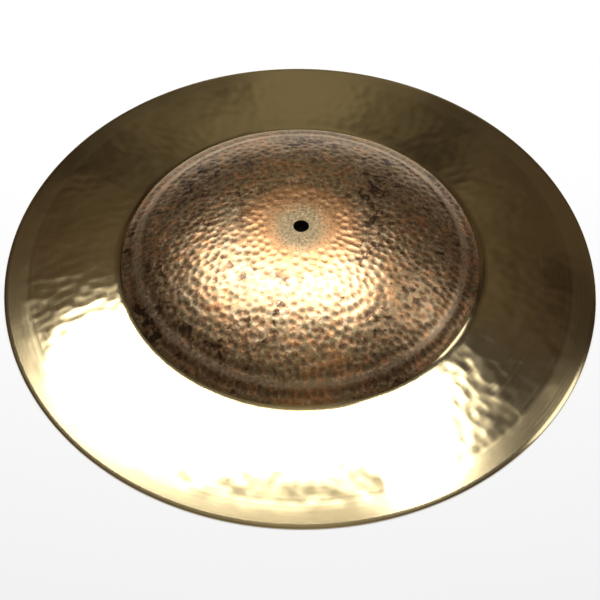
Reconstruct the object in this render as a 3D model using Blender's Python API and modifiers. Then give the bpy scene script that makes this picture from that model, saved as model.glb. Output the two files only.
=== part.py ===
"""Ride cymbal: one turned, hammered and lathed disc of bell bronze.

It lies bell up, as it does on a table or a stand. The origin is the centre of
the circle that the rim stands on, +Z runs up through the hole, and lengths are
in metres.

The wall is drawn as a centre line with a thickness. From the hole outwards the
centre line is a flat seat, the bell's dome, a hollow cove at the bell's border,
and the bow, down to the rounded edge. Each stretch meets the next without a kink.
"""

import math
from typing import NamedTuple

import bpy

# Diameters
CYMBAL_DIAMETER = 0.508
BELL_DIAMETER = 0.309
SEAT_DIAMETER = 0.034
HOLE_DIAMETER = 0.0127

# Heights, measured along the centre line of the wall
BOW_RISE = 0.0145
BELL_RISE = 0.0410

# Wall thicknesses, which taper evenly from one to the next
SEAT_THICKNESS = 0.0017
BORDER_THICKNESS = 0.0013
EDGE_THICKNESS = 0.0010

# Radius of the cove between bell and bow, and the chamfer on the hole's edges
COVE_RADIUS = 0.012
HOLE_CHAMFER = 0.0003

# Fineness of the curves
DOME_SPANS = 9
COVE_SPANS = 3
BOW_SPANS = 6
TURN_STEPS = 96
EDGE_ANGLES = (45, 90, 135, 180)
SEAM_MERGE = 0.00001
SHARP_ANGLE = math.radians(40)

# Finish
BRONZE_COLOUR = (0.55, 0.40, 0.20, 1.0)
BRONZE_ROUGHNESS = 0.28


class Station(NamedTuple):
    """A point of the wall's centre line, and how steeply the wall falls outwards there, in radians."""

    radius: float
    height: float
    slope: float


class Circle(NamedTuple):
    """A circle in the plane of the profile."""

    radius_from_axis: float
    height: float
    size: float


def clear_scene():
    """Remove every object, so that only the cymbal is left."""
    for thing in list(bpy.data.objects):
        bpy.data.objects.remove(thing, do_unlink=True)


def outer_crossing(first, second):
    """Return the point further from the axis where two circles cross."""
    across = second.radius_from_axis - first.radius_from_axis
    along = second.height - first.height
    distance = math.hypot(across, along)
    reach = (distance**2 + first.size**2 - second.size**2) / (2 * distance)
    offset = math.sqrt(first.size**2 - reach**2)
    across, along = across / distance, along / distance
    middle = (first.radius_from_axis + reach * across, first.height + reach * along)
    points = [
        (middle[0] - side * offset * along, middle[1] + side * offset * across)
        for side in (-1, 1)
    ]
    return max(points)


def crown_circle(seat_radius, seat_height, border_radius, border_height):
    """Return the circle that leaves the flat seat level and comes down at the bell's border."""
    run = border_radius - seat_radius
    drop = seat_height - border_height
    size = (run**2 + drop**2) / (2 * drop)
    return Circle(seat_radius, seat_height - size, size)


def bow_circle(border_radius, border_height, edge_radius, edge_height):
    """Return the circle about the axis that joins the bell's border to the edge."""
    drop = border_height - edge_height
    run = edge_radius**2 - border_radius**2
    height = (border_height + edge_height) / 2 - run / (2 * drop)
    return Circle(0.0, height, math.hypot(border_radius, border_height - height))


def arc(circle, start, end, spans, hollow=False):
    """List the stations along a circle from one slope to the other, both ends included.

    A hollow arc lies under its circle's centre, and any other lies over it.
    """
    side = -1 if hollow else 1
    slopes = [start + (end - start) * step / spans for step in range(spans + 1)]
    return [
        Station(
            circle.radius_from_axis + side * circle.size * math.sin(slope),
            circle.height + side * circle.size * math.cos(slope),
            slope,
        )
        for slope in slopes
    ]


def slope_towards(circle, point):
    """Return the slope of a circle where the line from its centre to the point crosses it."""
    return math.atan2(point[0] - circle.radius_from_axis, point[1] - circle.height)


def centre_line():
    """List the stations of the wall's centre line, from the seat's outer edge to the rim."""
    edge_radius = (CYMBAL_DIAMETER - EDGE_THICKNESS) / 2
    edge_height = EDGE_THICKNESS / 2
    border_radius = BELL_DIAMETER / 2
    border_height = edge_height + BOW_RISE
    seat_height = border_height + BELL_RISE

    dome = crown_circle(SEAT_DIAMETER / 2, seat_height, border_radius, border_height)
    bow = bow_circle(border_radius, border_height, edge_radius, edge_height)
    centre = outer_crossing(
        dome._replace(size=dome.size + COVE_RADIUS),
        bow._replace(size=bow.size + COVE_RADIUS),
    )
    cove = Circle(*centre, COVE_RADIUS)
    foot_slope = slope_towards(dome, centre)
    border_slope = slope_towards(bow, centre)
    edge_slope = slope_towards(bow, (edge_radius, edge_height))

    return (
        arc(dome, 0.0, foot_slope, DOME_SPANS)
        + arc(cove, foot_slope, border_slope, COVE_SPANS, hollow=True)[1:]
        + arc(bow, border_slope, edge_slope, BOW_SPANS)[1:]
    )


def between(value, low, high, at_low, at_high):
    """Return the value that lies as far between two others as the first does in its range."""
    share = (value - low) / (high - low)
    return at_low + (at_high - at_low) * share


def thickness_at(radius):
    """Return the wall's thickness at a distance from the axis."""
    seat_radius = SEAT_DIAMETER / 2
    border_radius = BELL_DIAMETER / 2
    edge_radius = (CYMBAL_DIAMETER - EDGE_THICKNESS) / 2
    if radius < border_radius:
        return between(radius, seat_radius, border_radius, SEAT_THICKNESS, BORDER_THICKNESS)
    return between(radius, border_radius, edge_radius, BORDER_THICKNESS, EDGE_THICKNESS)


def offset_point(station, side):
    """Return the point of the upper (side 1) or lower (side -1) face at a station."""
    shift = side * thickness_at(station.radius) / 2
    return (
        station.radius + shift * math.sin(station.slope),
        station.height + shift * math.cos(station.slope),
    )


def rounded_edge(tip):
    """List the points round the edge, from its outer shoulder to the line that it stands on."""
    size = EDGE_THICKNESS / 2
    return [
        (tip.radius + size * math.sin(angle), tip.height + size * math.cos(angle))
        for angle in map(math.radians, EDGE_ANGLES)
    ]


def wall_outline():
    """List the wall's outline: out along the upper face, round the edge and back along the lower face."""
    stations = centre_line()
    upper = [offset_point(station, 1) for station in stations]
    lower = [offset_point(station, -1) for station in reversed(stations)]
    hole_radius = HOLE_DIAMETER / 2
    top = upper[0][1]
    bottom = lower[-1][1]
    hole_upper = [(hole_radius, top - HOLE_CHAMFER), (hole_radius + HOLE_CHAMFER, top)]
    hole_lower = [(hole_radius + HOLE_CHAMFER, bottom), (hole_radius, bottom + HOLE_CHAMFER)]
    return hole_upper + upper + rounded_edge(stations[-1]) + lower + hole_lower


def bronze():
    """Return the cymbal's metal."""
    material = bpy.data.materials.new("bell_bronze")
    material.use_nodes = True
    shader = material.node_tree.nodes["Principled BSDF"]
    shader.inputs["Base Color"].default_value = BRONZE_COLOUR
    shader.inputs["Metallic"].default_value = 1.0
    shader.inputs["Roughness"].default_value = BRONZE_ROUGHNESS
    return material


def turned(name, outline, collection):
    """Return an object turned from a closed outline about the Z axis."""
    mesh = bpy.data.meshes.new(name)
    count = len(outline)
    edges = [(index, (index + 1) % count) for index in range(count)]
    mesh.from_pydata([(radius, 0.0, height) for radius, height in outline], edges, [])
    thing = bpy.data.objects.new(name, mesh)
    collection.objects.link(thing)
    screw = thing.modifiers.new("turning", "SCREW")
    screw.axis = "Z"
    screw.angle = math.tau
    screw.steps = TURN_STEPS
    screw.render_steps = TURN_STEPS
    screw.use_merge_vertices = True
    screw.merge_threshold = SEAM_MERGE
    return thing


def applied(thing):
    """Replace an object's mesh by its modified one, shaded smooth except at sharp edges."""
    graph = bpy.context.evaluated_depsgraph_get()
    profile = thing.data
    thing.data = bpy.data.meshes.new_from_object(thing.evaluated_get(graph))
    thing.modifiers.clear()
    bpy.data.meshes.remove(profile)
    thing.data.name = thing.name
    thing.data.shade_smooth()
    thing.data.set_sharp_from_angle(angle=SHARP_ANGLE)
    return thing


def build():
    """Build the cymbal."""
    clear_scene()
    collection = bpy.data.collections.new("ride_cymbal")
    bpy.context.scene.collection.children.link(collection)
    cymbal = applied(turned("cymbal", wall_outline(), collection))
    cymbal.data.materials.append(bronze())


build()
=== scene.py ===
"""Visual model of a ride cymbal with a very wide hammered bell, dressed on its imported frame.

The cymbal is one closed piece. Its wall is turned from a profile, a Geometry Nodes tree
lays the hammer blows on it and dents it, and one material mixes the raw, patinated bell
with the lathed and buffed bow. Lengths are in metres.
"""

import logging
import math
from dataclasses import dataclass
from enum import Enum
from typing import Any, NamedTuple

import bpy
from mathutils import Matrix, Vector


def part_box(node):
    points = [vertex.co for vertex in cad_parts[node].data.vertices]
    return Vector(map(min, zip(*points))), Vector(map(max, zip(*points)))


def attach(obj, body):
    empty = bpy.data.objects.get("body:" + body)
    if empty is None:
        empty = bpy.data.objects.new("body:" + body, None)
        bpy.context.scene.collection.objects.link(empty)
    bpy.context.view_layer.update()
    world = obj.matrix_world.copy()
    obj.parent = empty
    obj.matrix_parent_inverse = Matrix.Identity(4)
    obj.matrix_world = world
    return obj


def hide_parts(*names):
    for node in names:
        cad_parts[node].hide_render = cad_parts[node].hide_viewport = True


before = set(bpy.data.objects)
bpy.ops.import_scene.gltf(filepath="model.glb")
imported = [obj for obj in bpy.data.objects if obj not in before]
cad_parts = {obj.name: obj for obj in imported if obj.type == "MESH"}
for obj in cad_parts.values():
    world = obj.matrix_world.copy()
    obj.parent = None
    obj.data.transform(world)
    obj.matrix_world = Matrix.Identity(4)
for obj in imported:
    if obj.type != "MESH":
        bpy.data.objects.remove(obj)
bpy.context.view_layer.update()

NODE = "cymbal"
WHITE = (1.0, 1.0, 1.0, 1.0)
NOISE_MIDDLE = 0.5
Colour = tuple[float, float, float]
log = logging.getLogger("ride_cymbal")


class Side(Enum):
    """A face of the wall."""

    UPPER = 1
    LOWER = -1


class Station(NamedTuple):
    """A point of the wall's centre line, and how steeply the wall falls outwards there."""

    radius: float
    height: float
    slope: float


class Circle(NamedTuple):
    """A circle in the plane of the profile."""

    radius_from_axis: float
    height: float
    size: float


class Ring(NamedTuple):
    """A ring of the turned mesh and how many points lie on it."""

    radius: float
    height: float
    steps: int


class Band(NamedTuple):
    """A ring-shaped zone, from one radius to another, and how far it fades out beyond them."""

    start: float
    end: float
    blur: float


class Lumps(NamedTuple):
    """A noise: lumps to the metre, how many finer layers it has and how strong these are."""

    scale: float
    detail: float
    rough: float = 0.55


class Value:
    """A socket of a node tree, on which Python's arithmetic adds Math nodes."""

    def __init__(self, graph: "Graph", socket: bpy.types.NodeSocket | None) -> None:
        """Keep the socket and the graph that it belongs to."""
        self.graph = graph
        self.socket = socket

    def math(self, operation: str, *others: "Value | float") -> "Value":
        """Return the result of a Math node on this value and the others."""
        inputs = dict(enumerate((self, *others)))
        return self.graph.node("ShaderNodeMath", {"operation": operation}, inputs)

    def __add__(self, other: "Value | float") -> "Value":
        """Return the sum."""
        return self.math("ADD", other)

    __radd__ = __add__

    def __mul__(self, other: "Value | float") -> "Value":
        """Return the product."""
        return self.math("MULTIPLY", other)

    __rmul__ = __mul__

    def __sub__(self, other: "Value | float") -> "Value":
        """Return this value less the other."""
        return self.math("SUBTRACT", other)

    def __rsub__(self, other: "Value | float") -> "Value":
        """Return the other value less this one."""
        return (self * -1.0).math("ADD", other)

    def __truediv__(self, other: "Value | float") -> "Value":
        """Return the quotient."""
        return self.math("DIVIDE", other)

    def clamped(self) -> "Value":
        """Return this value kept between 0 and 1."""
        return self.math("MAXIMUM", 0.0).math("MINIMUM", 1.0)


class Graph:
    """Adds nodes to a shader tree or a Geometry Nodes tree."""

    def __init__(self, tree: bpy.types.NodeTree) -> None:
        """Keep the tree."""
        self.tree = tree

    def node(
        self,
        kind: str,
        settings: dict[str, Any] | None = None,
        inputs: dict[Any, Any] | None = None,
        output: Any = 0,
    ) -> Value:
        """Add a node.

        Args:
            kind: The node's type.
            settings: Its properties, set first; "stops" fills a colour ramp.
            inputs: Values or links, by the socket's name or number.
            output: Which output to return.

        Returns:
            The chosen output, which is empty for a node that has none.
        """
        item = self.tree.nodes.new(kind)
        for name, setting in (settings or {}).items():
            if name == "stops":
                self.fill_ramp(item.color_ramp, setting)
            else:
                setattr(item, name, setting)
        for key, source in (inputs or {}).items():
            self.fill_socket(item.inputs[key], source)
        return Value(self, item.outputs[output] if item.outputs else None)

    def fill_socket(self, socket: bpy.types.NodeSocket, source: Any) -> None:
        """Set a socket's value, or link what feeds it.

        Args:
            socket: An input of a node.
            source: A plain value, a link, or a list of links for a socket that takes several.
        """
        if isinstance(source, list):
            for part in source:
                self.fill_socket(socket, part)
        elif isinstance(source, Value):
            self.tree.links.new(source.socket, socket)
        else:
            socket.default_value = source

    def fill_ramp(self, ramp: bpy.types.ColorRamp, stops: list[tuple[float, Colour]]) -> None:
        """Set the stops of a colour ramp.

        Args:
            ramp: The ramp, which starts with two stops.
            stops: The place and colour of each stop.
        """
        while len(ramp.elements) < len(stops):
            ramp.elements.new(1.0)
        for element, (place, colour) in zip(ramp.elements, stops):
            element.position = place
            element.color = (*colour, 1.0)

    def step(self, value: Value, start: float, end: float) -> Value:
        """Return a smooth step.

        Args:
            value: What the step runs over.
            start: Where it leaves 0.
            end: Where it reaches 1.

        Returns:
            The step, from 0 to 1.
        """
        settings = {"interpolation_type": "SMOOTHSTEP"}
        return self.node("ShaderNodeMapRange", settings, {"Value": value, 1: start, 2: end, 3: 0.0, 4: 1.0})

    def band(self, radius: Value, zone: Band) -> Value:
        """Return a mask of a ring-shaped zone.

        Args:
            radius: The distance from the Z axis.
            zone: The zone.

        Returns:
            The mask, 1 in the zone and 0 beyond its blur.
        """
        entry = self.step(radius, zone.start - zone.blur, zone.start)
        return entry * (1.0 - self.step(radius, zone.end, zone.end + zone.blur))

    def blend(
        self,
        factor: Value | float,
        first: Value | Colour,
        second: Value | Colour,
        mode: str = "MIX",
    ) -> Value:
        """Return a mix of two colours.

        Args:
            factor: The share of the second colour.
            first: A colour or a link.
            second: A colour or a link.
            mode: How the two are mixed.

        Returns:
            The mixed colour.
        """
        colours = {6: self.colour(first), 7: self.colour(second)}
        settings = {"data_type": "RGBA", "blend_type": mode}
        return self.node("ShaderNodeMix", settings, {0: factor, **colours}, 2)

    def colour(self, source: Value | Colour) -> Value | tuple[float, ...]:
        """Return a colour with its alpha, or the link that was given."""
        return source if isinstance(source, Value) else (*source, 1.0)

    def noise(self, place: Value, lumps: Lumps) -> Value:
        """Return a noise, mostly between 0.3 and 0.7."""
        inputs = {"Vector": place, "Scale": lumps.scale, "Detail": lumps.detail, "Roughness": lumps.rough}
        return self.node("ShaderNodeTexNoise", None, inputs)

    def turned_noise(self, radius: Value, lumps: Lumps) -> Value:
        """Return a noise that changes only outwards, so that it draws turned lines."""
        inputs = {"W": radius, "Scale": lumps.scale, "Detail": lumps.detail, "Roughness": lumps.rough}
        return self.node("ShaderNodeTexNoise", {"noise_dimensions": "1D"}, inputs)

    def ramp(self, factor: Value, places: tuple[float, ...], colours: tuple[Colour, ...]) -> Value:
        """Return the colour that a ramp with stops at these places has at a factor."""
        stops = list(zip(places, colours))
        return self.node("ShaderNodeValToRGB", {"stops": stops}, {"Fac": factor}, "Color")

    def bump(self, height: Value, strength: float, distance: float) -> Value:
        """Return the normal of a bumpy surface."""
        inputs = {"Strength": strength, "Distance": distance, "Height": height}
        return self.node("ShaderNodeBump", None, inputs)

    def flattened(self, place: Value) -> Value:
        """Return a place moved straight onto the plane that the rim stands on."""
        settings = {"operation": "MULTIPLY"}
        return self.node("ShaderNodeVectorMath", settings, {0: place, 1: (1.0, 1.0, 0.0)})

    def radius_of(self, place: Value) -> Value:
        """Return the distance from the Z axis."""
        settings = {"operation": "LENGTH"}
        return self.node("ShaderNodeVectorMath", settings, {0: self.flattened(place)}, "Value")

    def object_place(self) -> Value:
        """Return the place on the object."""
        return self.node("ShaderNodeTexCoord", None, None, "Object")

    def seen(self) -> Value:
        """Tell the rays that show a backdrop from those that only light the cymbal.

        Returns:
            1 for camera, glossy and transmission rays, and 0 for the rest.
        """
        camera = self.node("ShaderNodeLightPath", None, None, "Is Camera Ray")
        glossy = self.node("ShaderNodeLightPath", None, None, "Is Glossy Ray")
        through = self.node("ShaderNodeLightPath", None, None, "Is Transmission Ray")
        return (camera + glossy + through).clamped()

    def finish(self, shader: Value, kind: str = "ShaderNodeOutputMaterial") -> None:
        """Join a shader to the output of a material or a world."""
        self.node(kind, None, {"Surface": shader})


def empty_graph(owner: bpy.types.Material | bpy.types.World) -> Graph:
    """Return the emptied graph of a material or a world.

    Args:
        owner: The material or the world.

    Returns:
        Its graph, without nodes.
    """
    owner.use_nodes = True
    owner.node_tree.nodes.clear()
    return Graph(owner.node_tree)


def linked(name: str, data: bpy.types.ID) -> bpy.types.Object:
    """Put data into the scene.

    Args:
        name: The object's name.
        data: Its mesh, lamp or camera.

    Returns:
        The object.
    """
    thing = bpy.data.objects.new(name, data)
    bpy.context.scene.collection.objects.link(thing)
    return thing


def placed(place: Vector, right: Vector, up: Vector, back: Vector) -> Matrix:
    """Return the matrix of a lamp or a camera.

    Args:
        place: Where it is.
        right: The direction of its own X axis.
        up: The direction of its own Y axis.
        back: The direction of its own Z axis, away from what it looks at.

    Returns:
        The matrix.
    """
    return Matrix.Translation(place) @ Matrix((right, up, back)).transposed().to_4x4()


def spaced(points: list[tuple[float, float]], spacing: float) -> list[tuple[float, float]]:
    """Return points at an even spacing along a line.

    Args:
        points: The line's points, close together.
        spacing: The distance wanted between the new points.

    Returns:
        The new points, with both ends of the line.
    """
    lengths = [0.0]
    for first, second in zip(points, points[1:]):
        lengths.append(lengths[-1] + math.dist(first, second))
    spans = max(1, round(lengths[-1] / spacing))
    result, index = [], 0
    for span in range(spans + 1):
        target = lengths[-1] * span / spans
        while index < len(points) - 2 and lengths[index + 1] < target:
            index += 1
        share = (target - lengths[index]) / (lengths[index + 1] - lengths[index])
        start, end = points[index], points[index + 1]
        result.append((start[0] + (end[0] - start[0]) * share, start[1] + (end[1] - start[1]) * share))
    return result


@dataclass(frozen=True)
class WallProfile:
    """The section of the wall: flat seat, dome, cove at the bell's border, bow and rounded edge."""

    rim_radius: float
    top_height: float
    bell_radius: float = 0.1545
    seat_radius: float = 0.0170
    hole_radius: float = 0.00635
    bow_rise: float = 0.0145
    cove_radius: float = 0.012
    seat_thickness: float = 0.0017
    border_thickness: float = 0.0013
    edge_thickness: float = 0.0010
    hole_chamfer: float = 0.0003
    sampling: int = 400

    def centre_line(self) -> list[Station]:
        """List closely spaced stations of the centre line.

        Returns:
            The stations, from the seat's outer edge to the rim.
        """
        edge = (self.rim_radius - self.edge_thickness / 2, self.edge_thickness / 2)
        border = (self.bell_radius, edge[1] + self.bow_rise)
        seat = (self.seat_radius, self.top_height - self.seat_thickness / 2)

        run, drop = border[0] - seat[0], seat[1] - border[1]
        size = (run**2 + drop**2) / (2 * drop)
        dome = Circle(seat[0], seat[1] - size, size)
        fall = border[1] - edge[1]
        height = (border[1] + edge[1]) / 2 - (edge[0] ** 2 - border[0] ** 2) / (2 * fall)
        bow = Circle(0.0, height, math.hypot(border[0], border[1] - height))
        centre = self.cove_centre(dome, bow)
        cove = Circle(*centre, self.cove_radius)

        foot = math.atan2(centre[0] - dome.radius_from_axis, centre[1] - dome.height)
        start = math.atan2(centre[0], centre[1] - bow.height)
        end = math.atan2(edge[0], edge[1] - bow.height)
        return (
            self.arc(dome, 0.0, foot, 1)
            + self.arc(cove, foot, start, -1)[1:]
            + self.arc(bow, start, end, 1)[1:]
        )

    def cove_centre(self, dome: Circle, bow: Circle) -> tuple[float, float]:
        """Find the centre of the cove, which touches the dome and the bow from outside.

        Args:
            dome: The bell's circle.
            bow: The bow's circle.

        Returns:
            The centre's distance from the axis and its height.
        """
        dome_reach, bow_reach = dome.size + self.cove_radius, bow.size + self.cove_radius
        across = bow.radius_from_axis - dome.radius_from_axis
        along = bow.height - dome.height
        distance = math.hypot(across, along)
        reach = (distance**2 + dome_reach**2 - bow_reach**2) / (2 * distance)
        offset = math.sqrt(dome_reach**2 - reach**2)
        across, along = across / distance, along / distance
        middle = (dome.radius_from_axis + reach * across, dome.height + reach * along)
        points = [
            (middle[0] - side * offset * along, middle[1] + side * offset * across) for side in (-1, 1)
        ]
        return max(points)

    def arc(self, circle: Circle, start: float, end: float, side: int) -> list[Station]:
        """List the stations of an arc.

        Args:
            circle: The arc's circle.
            start: The slope at its start.
            end: The slope at its end.
            side: 1 for an arc over its circle's centre, -1 for one under it.

        Returns:
            The stations, both ends included.
        """
        slopes = [start + (end - start) * step / self.sampling for step in range(self.sampling + 1)]
        return [
            Station(
                circle.radius_from_axis + side * circle.size * math.sin(slope),
                circle.height + side * circle.size * math.cos(slope),
                slope,
            )
            for slope in slopes
        ]

    def thickness_at(self, radius: float) -> float:
        """Work out the wall's thickness.

        Args:
            radius: The distance from the axis.

        Returns:
            The thickness there.
        """
        if radius < self.bell_radius:
            share = (radius - self.seat_radius) / (self.bell_radius - self.seat_radius)
            return self.seat_thickness + (self.border_thickness - self.seat_thickness) * share
        outer = self.rim_radius - self.edge_thickness / 2
        share = (radius - self.bell_radius) / (outer - self.bell_radius)
        return self.border_thickness + (self.edge_thickness - self.border_thickness) * share

    def face(self, side: Side) -> list[tuple[float, float]]:
        """List the points of one face.

        Args:
            side: Which face.

        Returns:
            The radius and height of each point, outwards.
        """
        points = []
        for station in self.centre_line():
            shift = side.value * self.thickness_at(station.radius) / 2
            rise = station.height + shift * math.cos(station.slope)
            points.append((station.radius + shift * math.sin(station.slope), rise))
        return points

    def edge(self, spans: int) -> list[tuple[float, float]]:
        """List the points round the edge.

        Args:
            spans: How many spans the rounding has.

        Returns:
            The points, from just past the upper face to the line that the rim stands on.
        """
        size = self.edge_thickness / 2
        slope = self.centre_line()[-1].slope
        turns = [slope + (math.pi - slope) * step / spans for step in range(1, spans + 1)]
        points = [
            (self.rim_radius - size + size * math.sin(turn), size + size * math.cos(turn)) for turn in turns
        ]
        # The widest point is put right on the rim's radius, which the spans cut short
        widest = points.index(max(points))
        points[widest] = (self.rim_radius, points[widest][1])
        return points


@dataclass(frozen=True)
class Hammering:
    """The hammer blows on bell and bow, made in a Geometry Nodes tree.

    A pitch is the distance between blows, the least one where they are scattered. A reach
    is how far from its middle a dent goes, and a depth is how deep it is there. Margins are
    measured in from the rim, and out from the bell's border. The densest scatter is in
    blows to the square metre, before those closer than the pitch are left out.
    """

    rim_radius: float
    bell_radius: float
    bell_pitch: float = 0.0052
    bell_reach: float = 0.0037
    bell_depth: float = 0.00030
    bell_field: float = 0.1300
    bell_zone: Band = Band(0.0325, 0.1290, 0.0040)
    row_radii: tuple[float, float] = (0.1460, 0.1335)
    row_pitch: float = 0.0062
    row_reach: float = 0.0040
    row_depth: float = 0.00036
    row_slip: float = 0.0009
    row_lift: float = 0.5
    bow_pitch: float = 0.0080
    bow_reach: float = 0.0068
    bow_depth: float = 0.00012
    bow_border_margin: float = 0.0100
    bow_rim_margin: float = 0.0240
    bow_blur: float = 0.0060
    wave_depth: float = 0.00050
    wave_lumps: Lumps = Lumps(45.0, 1.0)
    wave_start: float = 0.0385
    wave_rim_margin: float = 0.0200
    wave_blur: float = 0.0100
    field_lift: float = 0.6
    field_corners: int = 96
    densest: float = 90000.0
    seed: int = 7

    def given_values(self) -> dict[str, float]:
        """Name the sizes that are the tree's inputs.

        Returns:
            The value of each input.
        """
        return {
            "Bell pitch": self.bell_pitch,
            "Bell depth": self.bell_depth,
            "Row depth": self.row_depth,
            "Bow pitch": self.bow_pitch,
            "Bow depth": self.bow_depth,
            "Wave depth": self.wave_depth,
        }

    def tree(self, material: bpy.types.Material) -> bpy.types.NodeTree:
        """Build the tree, which dents the disc and dresses it.

        Args:
            material: The finish of the cymbal.

        Returns:
            The tree.
        """
        tree = bpy.data.node_groups.new("hammer_blows", "GeometryNodeTree")
        tree.interface.new_socket("Geometry", in_out="INPUT", socket_type="NodeSocketGeometry")
        tree.interface.new_socket("Geometry", in_out="OUTPUT", socket_type="NodeSocketGeometry")
        for name in self.given_values():
            tree.interface.new_socket(name, in_out="INPUT", socket_type="NodeSocketFloat")
        graph = Graph(tree)
        smooth = graph.node("NodeGroupInput", None, None, "Geometry")
        given = {name: graph.node("NodeGroupInput", None, None, name) for name in self.given_values()}
        fall, blow = self.fall(graph, given)
        offset = graph.node("ShaderNodeCombineXYZ", None, {"Z": fall * -1.0})
        moved = {"Geometry": smooth, "Offset": offset}
        dented = graph.node("GeometryNodeSetPosition", None, moved)
        settings = {"data_type": "FLOAT", "domain": "POINT"}
        stored = {"Geometry": dented, "Name": "blow", "Value": blow}
        kept = graph.node("GeometryNodeStoreNamedAttribute", settings, stored)
        real = graph.node("GeometryNodeRealizeInstances", None, {"Geometry": kept})
        dressed = graph.node("GeometryNodeSetMaterial", None, {"Geometry": real, "Material": material})
        graph.node("NodeGroupOutput", None, {"Geometry": dressed})
        return tree

    def fall(self, graph: Graph, given: dict[str, Value]) -> tuple[Value, Value]:
        """Work out how far the wall is driven down.

        Args:
            graph: The tree's graph.
            given: The tree's inputs.

        Returns:
            The fall, and how far inside a blow of the bell a place is, from 0 to 1.
        """
        place = graph.node("GeometryNodeInputPosition")
        radius = graph.radius_of(place)
        flat = graph.flattened(place)
        bell_blows = self.scattered(graph, self.bell_field, given["Bell pitch"], self.bell_reach, self.seed)
        bow_blows = self.scattered(graph, self.rim_radius, given["Bow pitch"], self.bow_reach, self.seed + 1)
        rows = [
            self.row(graph, row_radius, self.seed + number)
            for number, row_radius in enumerate(self.row_radii, start=2)
        ]
        row_blows = graph.node("GeometryNodeJoinGeometry", None, {"Geometry": rows})

        bow_start = self.bell_radius + self.bow_border_margin
        bow_zone = Band(bow_start, self.rim_radius - self.bow_rim_margin, self.bow_blur)
        wave_zone = Band(self.wave_start, self.rim_radius - self.wave_rim_margin, self.wave_blur)
        bell_dent = self.dent(graph, bell_blows, flat, self.bell_reach) * graph.band(radius, self.bell_zone)
        row_dent = self.dent(graph, row_blows, flat, self.row_reach)
        bow_dent = self.dent(graph, bow_blows, flat, self.bow_reach) * graph.band(radius, bow_zone)
        wave = (graph.noise(place, self.wave_lumps) - NOISE_MIDDLE) * graph.band(radius, wave_zone)
        fall = (
            bell_dent * given["Bell depth"]
            + row_dent * given["Row depth"]
            + bow_dent * given["Bow depth"]
            + wave * given["Wave depth"]
        )
        return fall, (bell_dent + row_dent).clamped()

    def scattered(self, graph: Graph, radius: float, pitch: Value, reach: float, seed: int) -> Value:
        """Scatter blows over a flat disc.

        Args:
            graph: The tree's graph.
            radius: The disc's radius.
            pitch: The least distance between blows.
            reach: How far from its middle a dent goes.
            seed: What the scatter starts from.

        Returns:
            The blows, as points.
        """
        inputs = {"Vertices": self.field_corners, "Radius": radius}
        disc = graph.node("GeometryNodeMeshCircle", {"fill_type": "NGON"}, inputs)
        inputs = {"Mesh": disc, "Distance Min": pitch, "Density Max": self.densest, "Seed": seed}
        blows = graph.node("GeometryNodeDistributePointsOnFaces", {"distribute_method": "POISSON"}, inputs)
        return self.jittered(graph, blows, 0.0, reach * self.field_lift, seed)

    def row(self, graph: Graph, radius: float, seed: int) -> Value:
        """Lay a row of blows round a circle.

        Args:
            graph: The tree's graph.
            radius: The circle's radius.
            seed: What the unevenness of the row starts from.

        Returns:
            The blows, as points.
        """
        count = round(math.tau * radius / self.row_pitch)
        circle = graph.node("GeometryNodeMeshCircle", None, {"Vertices": count, "Radius": radius})
        return self.jittered(graph, circle, self.row_slip, self.row_reach * self.row_lift, seed)

    def jittered(self, graph: Graph, blows: Value, slip: float, lift: float, seed: int) -> Value:
        """Move blows at random; one that is lifted off the flat disc makes a shallower dent.

        Args:
            graph: The tree's graph.
            blows: The blows.
            slip: How far they move sideways at most.
            lift: How far they move up at most.
            seed: What the moves start from.

        Returns:
            The moved blows.
        """
        inputs = {0: (-slip, -slip, 0.0), 1: (slip, slip, lift), "Seed": seed}
        shift = graph.node("FunctionNodeRandomValue", {"data_type": "FLOAT_VECTOR"}, inputs)
        return graph.node("GeometryNodeSetPosition", None, {"Geometry": blows, "Offset": shift})

    def dent(self, graph: Graph, blows: Value, flat: Value, reach: float) -> Value:
        """Work out how deep the nearest blow goes here.

        Args:
            graph: The tree's graph.
            blows: The blows.
            flat: The place, moved onto the flat disc.
            reach: How far from its middle a dent goes.

        Returns:
            1 at the middle of a blow that isn't lifted, falling to 0 at its reach.
        """
        inputs = {"Geometry": blows, "Sample Position": flat}
        distance = graph.node("GeometryNodeProximity", {"target_element": "POINTS"}, inputs, "Distance")
        share = distance / reach
        return (1.0 - share * share).clamped()


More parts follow.
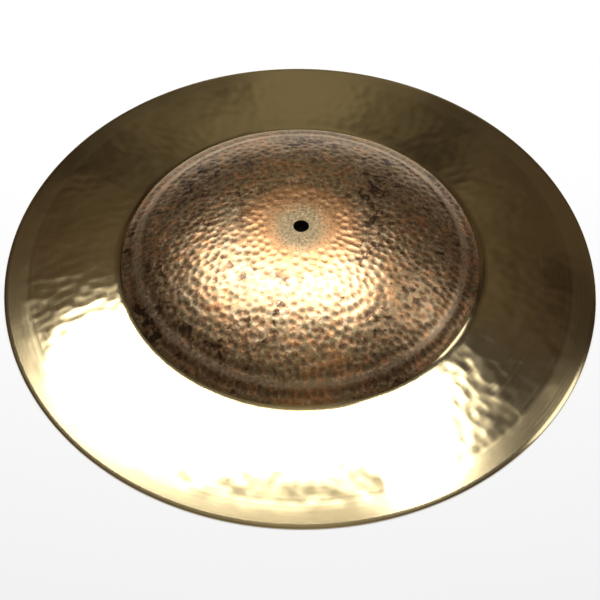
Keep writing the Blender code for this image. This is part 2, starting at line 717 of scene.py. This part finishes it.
@dataclass(frozen=True)
class RawBell:
    """The raw bell: rough bronze with a brown, copper and olive patina, darker in the dents from oxide and
    painted shade, lighter on the crests from wear and painted highlight, and with a painted highlight on the
    ridge at its border.
    """

    umber: Colour = (0.120, 0.074, 0.044)
    brown: Colour = (0.500, 0.300, 0.155)
    copper: Colour = (0.680, 0.355, 0.160)
    olive: Colour = (0.400, 0.320, 0.180)
    tan: Colour = (0.780, 0.600, 0.420)
    pale_gold: Colour = (0.720, 0.560, 0.330)
    broad: Lumps = Lumps(22.0, 4.0, 0.60)
    middle: Lumps = Lumps(75.0, 5.0, 0.62)
    fine: Lumps = Lumps(420.0, 4.0, 0.65)
    grit: Lumps = Lumps(1100.0, 2.0)
    broad_share: float = 0.42
    middle_share: float = 0.30
    fine_share: float = 0.10
    fleck_share: float = 0.13
    stain_lift: float = 0.09
    stain_places: tuple[float, ...] = (0.40, 0.46, 0.50, 0.54, 0.60)
    flecks_to_metre: float = 185.0
    # The tan below is kept mostly off the dents: partly real wear, partly a painted highlight on the crests
    # between blows.
    wear_and_highlight_fine: float = 0.5
    wear_and_highlight_middle: float = 0.5
    wear_and_highlight_from: float = 0.50
    wear_and_highlight_to: float = 0.66
    wear_and_highlight_share: float = 0.75
    wear_and_highlight_in_dents: float = 0.4
    # The dents are darkened towards umber: partly oxide left in them, partly painted shade.
    dent_from: float = 0.15
    dent_to: float = 0.85
    dent_oxide_and_shade_umber: float = 0.75
    dent_oxide_and_shade_share: float = 0.62
    wander: float = 0.030
    halo: Band = Band(0.020, 0.040, 0.014)
    halo_share: float = 0.75
    seat_from: float = 0.011
    seat_to: float = 0.028
    seat_share: float = 0.9
    # Painted highlight: the ridge between the two rows of blows at the border is coloured pale tan, less in
    # the dents.
    ridge_highlight: Band = Band(0.1385, 0.1405, 0.0030)
    ridge_highlight_share: float = 0.55
    ridge_highlight_in_dents: float = 0.2
    roughness: float = 0.31
    roughness_spread: float = 0.35
    seat_polish: float = 0.06
    seat_bump: float = 0.25
    fine_height: float = 0.5
    grit_height: float = 0.25
    bump_strength: float = 0.35
    bump_distance: float = 0.0003

    def shader(self, graph: Graph, place: Value, radius: Value) -> Value:
        """Build the shader.

        Args:
            graph: The material's graph.
            place: The place on the object.
            radius: The distance from the Z axis.

        Returns:
            The shader.
        """
        blow = graph.node("ShaderNodeAttribute", {"attribute_name": "blow"}, None, "Fac")
        broad, fine = graph.noise(place, self.broad), graph.noise(place, self.fine)
        wandering = radius + (broad - NOISE_MIDDLE) * self.wander
        seat = 1.0 - graph.step(wandering, self.seat_from, self.seat_to)
        patina_and_shade = self.patina(graph, place, blow, broad, fine)
        halo = graph.band(wandering, self.halo)
        coppery = graph.blend(halo * self.halo_share, patina_and_shade, self.copper)
        gilded = graph.blend(seat * self.seat_share, coppery, self.pale_gold)
        # Painted highlight: a pale tan ring on the ridge between the two rows of border blows, fainter in
        # the dents, for the light that the ridge catches.
        ridge_highlight = graph.band(radius, self.ridge_highlight) * (1.0 - blow * (1.0 - self.ridge_highlight_in_dents))
        colour = graph.blend(ridge_highlight * self.ridge_highlight_share, gilded, self.tan)

        spread = (fine - NOISE_MIDDLE) * self.roughness_spread
        roughness = self.roughness + spread - seat * self.seat_polish
        height = fine * self.fine_height + graph.noise(place, self.grit) * self.grit_height
        height = height * (1.0 - seat * (1.0 - self.seat_bump))
        inputs = {
            "Base Color": colour,
            "Metallic": 1.0,
            "Roughness": roughness.clamped(),
            "Normal": graph.bump(height, self.bump_strength, self.bump_distance),
        }
        return graph.node("ShaderNodeBsdfPrincipled", None, inputs)

    def patina(self, graph: Graph, place: Value, blow: Value, broad: Value, fine: Value) -> Value:
        """Work out the patina's colour, with wear and painted highlight on the crests and oxide and painted
        shade in the dents.

        Args:
            graph: The material's graph.
            place: The place on the object.
            blow: How far inside a blow the place is.
            broad: The broad noise.
            fine: The fine noise.

        Returns:
            The colour, before seat, halo and the painted highlight on the ridge.
        """
        middle = graph.noise(place, self.middle)
        inputs = {"Vector": place, "Scale": self.flecks_to_metre, "Randomness": 1.0}
        cells = graph.node("ShaderNodeTexVoronoi", {"feature": "F1"}, inputs, "Color")
        fleck = graph.node("ShaderNodeSeparateColor", None, {"Color": cells}, "Red")
        stain = broad * self.broad_share + middle * self.middle_share + fine * self.fine_share
        stain = stain + (fleck - NOISE_MIDDLE) * self.fleck_share + self.stain_lift
        tones = (self.umber, self.brown, self.olive, self.brown, self.copper)
        stained = graph.ramp(stain, self.stain_places, tones)
        # Tan wear, kept mostly off the dents so that the crests between blows come out lighter: partly real
        # wear, partly a painted highlight on the crests.
        wear_and_highlight_noise = fine * self.wear_and_highlight_fine + middle * self.wear_and_highlight_middle
        wear_and_crest_highlight = graph.step(wear_and_highlight_noise, self.wear_and_highlight_from, self.wear_and_highlight_to)
        wear_and_crest_highlight = wear_and_crest_highlight * (1.0 - blow * (1.0 - self.wear_and_highlight_in_dents))
        worn_and_highlit = graph.blend(wear_and_crest_highlight * self.wear_and_highlight_share, stained, self.tan)
        # Painted shade in part: the middle of each dent is darkened towards umber, which stands partly for
        # oxide left in the hollows and partly for shade.
        dent_oxide_and_shade = graph.blend(self.dent_oxide_and_shade_umber, worn_and_highlit, self.umber)
        return graph.blend(graph.step(blow, self.dent_from, self.dent_to) * self.dent_oxide_and_shade_share, worn_and_highlit, dent_oxide_and_shade)


@dataclass(frozen=True)
class BuffedBow:
    """The bow: bright bronze with fine turned lines, which draw its highlights out from the bell."""

    rim_radius: float
    bronze: Colour = (0.740, 0.605, 0.345)
    dull_share: float = 0.80
    cloud: Lumps = Lumps(14.0, 3.0)
    grooves: Lumps = Lumps(900.0, 6.0, 0.7)
    lines: Lumps = Lumps(260.0, 2.0, 0.7)
    groove_tone: float = 0.30
    cloud_tone: float = 0.35
    tone_places: tuple[float, ...] = (0.30, 0.70)
    rim_band_inner: float = 0.022
    rim_band_outer: float = 0.018
    roughness: float = 0.13
    roughness_spread: float = 0.14
    rim_roughness: float = 0.03
    anisotropic: float = 0.65
    quarter_turn: float = 0.25
    groove_height: float = 0.6
    line_height: float = 0.4
    rim_line_height: float = 0.5
    bump_strength: float = 0.20
    bump_distance: float = 0.0001

    def shader(self, graph: Graph, place: Value, radius: Value) -> Value:
        """Build the shader.

        Args:
            graph: The material's graph.
            place: The place on the object.
            radius: The distance from the Z axis.

        Returns:
            The shader.
        """
        cloud = graph.noise(place, self.cloud) - NOISE_MIDDLE
        grooves, lines = graph.turned_noise(radius, self.grooves), graph.turned_noise(radius, self.lines)
        inner, outer = self.rim_radius - self.rim_band_inner, self.rim_radius - self.rim_band_outer
        rim = graph.step(radius, inner, outer)
        depth = grooves - NOISE_MIDDLE
        tone = depth * self.groove_tone + cloud * self.cloud_tone + NOISE_MIDDLE
        dull = tuple(part * self.dull_share for part in self.bronze)
        roughness = self.roughness + depth * self.roughness_spread + rim * self.rim_roughness
        height = grooves * self.groove_height + lines * (self.line_height + rim * self.rim_line_height)
        inputs = {
            "Base Color": graph.ramp(tone, self.tone_places, (dull, self.bronze)),
            "Metallic": 1.0,
            "Roughness": roughness.clamped(),
            "Anisotropic": self.anisotropic,
            "Anisotropic Rotation": self.quarter_turn,
            "Normal": graph.bump(height, self.bump_strength, self.bump_distance),
        }
        return graph.node("ShaderNodeBsdfPrincipled", None, inputs)


@dataclass(frozen=True)
class CymbalBronze:
    """The finish of the whole disc: the raw bell up to its border, and the buffed bow beyond it."""

    bell_radius: float
    rim_radius: float
    border_inner: float = 0.0022
    border_outer: float = 0.0006

    def material(self) -> bpy.types.Material:
        """Build the material.

        Returns:
            The material.
        """
        material = bpy.data.materials.new("hammered_and_lathed_bronze")
        graph = empty_graph(material)
        place = graph.object_place()
        radius = graph.radius_of(place)
        raw = RawBell().shader(graph, place, radius)
        buffed = BuffedBow(self.rim_radius).shader(graph, place, radius)
        inner, outer = self.bell_radius - self.border_inner, self.bell_radius - self.border_outer
        border = graph.step(radius, inner, outer)
        graph.finish(graph.node("ShaderNodeMixShader", None, {0: border, 1: raw, 2: buffed}))
        return material


@dataclass(frozen=True)
class CymbalDisc:
    """The cymbal's disc as one closed mesh, from the hole's edge to the rim on both faces."""

    profile: WallProfile
    hammering: Hammering
    upper_bell_spacing: float = 0.0015
    upper_bow_spacing: float = 0.0036
    lower_bell_spacing: float = 0.0050
    lower_bow_spacing: float = 0.0080
    full_steps: int = 720
    half_radius: float = 0.070
    quarter_radius: float = 0.035
    edge_spans: int = 4
    sharp_angle: float = 40.0

    def steps_at(self, radius: float, side: Side) -> int:
        """Choose how many points a ring has.

        Args:
            radius: The ring's radius.
            side: The face that it lies on.

        Returns:
            The number of points, halved towards the hole and on the lower face.
        """
        steps = self.full_steps
        if radius < self.half_radius:
            steps //= 2
        if side is Side.LOWER:
            return steps // 2
        return steps // 2 if radius < self.quarter_radius else steps

    def rings_of(self, side: Side) -> list[Ring]:
        """List a face's rings.

        Args:
            side: Which face.

        Returns:
            The rings outwards, from the inner edge of the seat.
        """
        if side is Side.UPPER:
            bell_spacing, bow_spacing = self.upper_bell_spacing, self.upper_bow_spacing
        else:
            bell_spacing, bow_spacing = self.lower_bell_spacing, self.lower_bow_spacing
        face = self.profile.face(side)
        inner = [point for point in face if point[0] <= self.profile.bell_radius]
        outer = [inner[-1]] + [point for point in face if point[0] > self.profile.bell_radius]
        seat = [(self.profile.hole_radius + self.profile.hole_chamfer, face[0][1]), face[0]]
        points = spaced(seat, bell_spacing)
        points += spaced(inner, bell_spacing)[1:]
        points += spaced(outer, bow_spacing)[1:]
        return [Ring(radius, height, self.steps_at(radius, side)) for radius, height in points]

    def rings(self) -> list[Ring]:
        """List all rings.

        Returns:
            The hole's upper edge, the upper face, the rim, the lower face back and the hole's
            lower edge.
        """
        profile = self.profile
        upper, lower = self.rings_of(Side.UPPER), self.rings_of(Side.LOWER)[::-1]
        edge = [Ring(radius, height, self.full_steps) for radius, height in profile.edge(self.edge_spans)]
        few = upper[0].steps
        top = Ring(profile.hole_radius, upper[0].height - profile.hole_chamfer, few)
        bottom = Ring(profile.hole_radius, lower[-1].height + profile.hole_chamfer, few)
        return [top] + upper + edge + lower + [bottom]

    def faces_between(self, first: int, second: int, count: int, next_count: int) -> list[tuple[int, ...]]:
        """List the faces between two rings, of which one may have twice as many points.

        Args:
            first: The number of the ring's first vertex.
            second: The number of the next ring's first vertex.
            count: How many points the ring has.
            next_count: How many points the next ring has.

        Returns:
            The faces, turned so that they point outwards.
        """
        fewest, most = min(count, next_count), max(count, next_count)
        faces: list[tuple[int, ...]] = []
        for index in range(fewest):
            after = (index + 1) % fewest
            near, middle, far = 2 * index, 2 * index + 1, (2 * index + 2) % most
            if count == next_count:
                faces.append((first + index, second + index, second + after, first + after))
            elif count < next_count:
                faces.append((first + index, second + near, second + middle))
                faces.append((first + index, second + middle, first + after))
                faces.append((first + after, second + middle, second + far))
            else:
                faces.append((first + near, second + index, first + middle))
                faces.append((first + middle, second + index, second + after))
                faces.append((first + middle, second + after, first + far))
        return faces

    def turned(self) -> bpy.types.Object:
        """Turn the smooth disc.

        Returns:
            The disc, before its dents.
        """
        points: list[tuple[float, float, float]] = []
        starts: list[int] = []
        rings = self.rings()
        for ring in rings:
            starts.append(len(points))
            for step in range(ring.steps):
                turn = math.tau * step / ring.steps
                points.append((ring.radius * math.cos(turn), ring.radius * math.sin(turn), ring.height))
        faces: list[tuple[int, ...]] = []
        for index, ring in enumerate(rings):
            after = (index + 1) % len(rings)
            faces += self.faces_between(starts[index], starts[after], ring.steps, rings[after].steps)
        mesh = bpy.data.meshes.new("cymbal_disc")
        mesh.from_pydata(points, [], faces)
        return linked("cymbal_disc", mesh)

    def build(self, bronze: CymbalBronze) -> bpy.types.Object:
        """Build the disc, dent it and dress it.

        Args:
            bronze: The finish of bell and bow.

        Returns:
            The finished piece.
        """
        disc = self.turned()
        tree = self.hammering.tree(bronze.material())
        modifier = disc.modifiers.new("hammering", "NODES")
        modifier.node_group = tree
        values = self.hammering.given_values()
        for socket in tree.interface.items_tree:
            if socket.in_out == "INPUT" and socket.name in values:
                modifier[socket.identifier] = values[socket.name]
        graph = bpy.context.evaluated_depsgraph_get()
        smooth = disc.data
        disc.data = bpy.data.meshes.new_from_object(disc.evaluated_get(graph))
        disc.modifiers.clear()
        bpy.data.meshes.remove(smooth)
        disc.data.name = "cymbal_disc"
        disc.data.shade_smooth()
        disc.data.set_sharp_from_angle(angle=math.radians(self.sharp_angle))
        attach(disc, "root")
        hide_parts(NODE)
        return disc


@dataclass(frozen=True)
class Softbox:
    """An overhead lamp, placed by the direction in which the cymbal sees it.

    The direction is in degrees from straight up, to the right and to the far side, and so
    are half its width and half its depth.
    """

    name: str
    right: float
    far: float
    half_width: float
    half_depth: float
    radiance: float
    distance: float = 2.2

    def build(self) -> bpy.types.Object:
        """Build the lamp.

        Returns:
            The lamp, turned to the cymbal.
        """
        lamp = bpy.data.lights.new(self.name, "AREA")
        lamp.shape = "ELLIPSE"
        lamp.size = 2 * self.distance * math.tan(math.radians(self.half_width))
        lamp.size_y = 2 * self.distance * math.tan(math.radians(self.half_depth))
        area = math.pi / 4 * lamp.size * lamp.size_y
        lamp.energy = self.radiance * math.pi * area
        tilt = math.radians(math.hypot(self.right, self.far))
        azimuth = math.atan2(self.far, self.right)
        level = math.sin(tilt)
        direction = Vector((level * math.cos(azimuth), level * math.sin(azimuth), math.cos(tilt)))
        across = Vector((1.0, 0.0, 0.0))
        across = (across - direction * across.dot(direction)).normalized()
        thing = linked(self.name, lamp)
        thing.matrix_world = placed(direction * self.distance, across, direction.cross(across), direction)
        thing.visible_camera = False
        return thing


@dataclass(frozen=True)
class Studio:
    """A pale floor, overhead softboxes and dim walls that only reflections show."""

    floor_size: float = 14.0
    floor_white: float = 0.86
    white_from: float = 0.40
    white_to: float = 0.90
    wall_radius: float = 4.5
    wall_segments: int = 48
    wall_rings: int = 24
    wall_lumps: Lumps = Lumps(0.80, 3.0)
    wall_places: tuple[float, ...] = (0.40, 0.49, 0.60)
    wall_dark: Colour = (0.040, 0.027, 0.020)
    wall_dim: Colour = (0.150, 0.128, 0.088)
    wall_light: Colour = (0.240, 0.210, 0.148)
    side_tint: Colour = (0.36, 0.29, 0.25)
    side_from: float = 0.08
    side_to: float = 0.45
    fill: float = 0.38
    softboxes: tuple[Softbox, ...] = (
        Softbox("softbox_middle", right=-4.0, far=17.5, half_width=20.0, half_depth=9.0, radiance=9.0),
        Softbox("softbox_left", right=-24.0, far=24.0, half_width=6.0, half_depth=8.0, radiance=9.0),
        Softbox("softbox_right", right=14.0, far=16.0, half_width=6.0, half_depth=11.0, radiance=8.5),
        Softbox("softbox_far", right=-4.0, far=34.0, half_width=12.0, half_depth=6.0, radiance=0.35),
        Softbox("side_card", right=42.0, far=12.0, half_width=8.0, half_depth=8.0, radiance=2.4),
    )

    def build(self) -> None:
        """Build the floor, the walls, the lamps and the world."""
        self.build_floor()
        self.build_walls()
        for softbox in self.softboxes:
            softbox.build()
        self.build_world()

    def build_floor(self) -> None:
        """Lay the pale floor that the rim stands on; far from the cymbal it turns plain white."""
        half = self.floor_size / 2
        corners = [(-half, -half, 0.0), (half, -half, 0.0), (half, half, 0.0), (-half, half, 0.0)]
        mesh = bpy.data.meshes.new("floor")
        mesh.from_pydata(corners, [], [(0, 1, 2, 3)])
        material = bpy.data.materials.new("floor_white")
        graph = empty_graph(material)
        colour = (self.floor_white, self.floor_white, self.floor_white, 1.0)
        paper = graph.node("ShaderNodeBsdfDiffuse", None, {"Color": colour})
        white = graph.node("ShaderNodeEmission", None, {"Color": WHITE, "Strength": 1.0})
        away = graph.step(graph.radius_of(graph.object_place()), self.white_from, self.white_to)
        graph.finish(graph.node("ShaderNodeMixShader", None, {0: away * graph.seen(), 1: paper, 2: white}))
        mesh.materials.append(material)
        linked("floor", mesh)

    def build_walls(self) -> None:
        """Put up the dim walls and ceiling as a ball, darker to both sides and only in reflections."""
        bpy.ops.mesh.primitive_uv_sphere_add(
            segments=self.wall_segments, ring_count=self.wall_rings, radius=self.wall_radius
        )
        walls = bpy.context.object
        walls.name = "studio_walls"
        material = bpy.data.materials.new("studio_walls")
        graph = empty_graph(material)
        place = graph.object_place()
        tones = (self.wall_dark, self.wall_dim, self.wall_light)
        ends = graph.ramp(graph.noise(place, self.wall_lumps), self.wall_places, tones)
        across = graph.node("ShaderNodeSeparateXYZ", None, {"Vector": place}, "X").math("ABSOLUTE")
        start, end = self.wall_radius * self.side_from, self.wall_radius * self.side_to
        sides = graph.blend(1.0, ends, self.side_tint, "MULTIPLY")
        colour = graph.blend(graph.step(across, start, end), ends, sides)
        graph.finish(graph.node("ShaderNodeEmission", None, {"Color": colour, "Strength": 1.0}))
        walls.data.materials.append(material)
        walls.visible_camera = False
        walls.visible_diffuse = False
        walls.visible_shadow = False

    def build_world(self) -> None:
        """Make the world white to the camera and to reflections, and a soft fill to the rest."""
        world = bpy.data.worlds.new("studio")
        bpy.context.scene.world = world
        graph = empty_graph(world)
        strength = graph.seen() * (1.0 - self.fill) + self.fill
        back = graph.node("ShaderNodeBackground", None, {"Color": WHITE, "Strength": strength})
        graph.finish(back, "ShaderNodeOutputWorld")


@dataclass(frozen=True)
class PhotoCamera:
    """The camera at the photograph's angle; angles are in degrees, lens and sensor in millimetres."""

    distance: float = 1.200
    elevation: float = 50.47
    pitch: float = 51.74
    roll: float = 0.887
    lens: float = 83.1
    sensor: float = 36.0

    def build(self) -> None:
        """Build the camera and make it the scene's."""
        elevation, pitch, roll = (math.radians(value) for value in (self.elevation, self.pitch, self.roll))
        forward = Vector((0.0, math.cos(pitch), -math.sin(pitch)))
        level = Vector((1.0, 0.0, 0.0))
        upright = level.cross(forward)
        right = level * math.cos(roll) + upright * math.sin(roll)
        up = upright * math.cos(roll) - level * math.sin(roll)
        camera = bpy.data.cameras.new("camera")
        camera.lens = self.lens
        camera.sensor_width = self.sensor
        thing = linked("camera", camera)
        place = Vector((0.0, -self.distance * math.cos(elevation), self.distance * math.sin(elevation)))
        thing.matrix_world = placed(place, right, up, -forward)
        bpy.context.scene.camera = thing


def main() -> None:
    """Build the camera, the studio and the cymbal."""
    logging.basicConfig(level=logging.INFO)
    bpy.context.scene.view_settings.view_transform = "Standard"
    low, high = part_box(NODE)
    rim_radius = (high[0] - low[0]) / 2
    PhotoCamera().build()
    Studio().build()
    profile = WallProfile(rim_radius=rim_radius, top_height=high[2])
    disc = CymbalDisc(profile, Hammering(rim_radius, profile.bell_radius))
    piece = disc.build(CymbalBronze(profile.bell_radius, rim_radius))
    log.info("%s: %d faces", piece.name, len(piece.data.polygons))


if __name__ == "__main__":
    main()
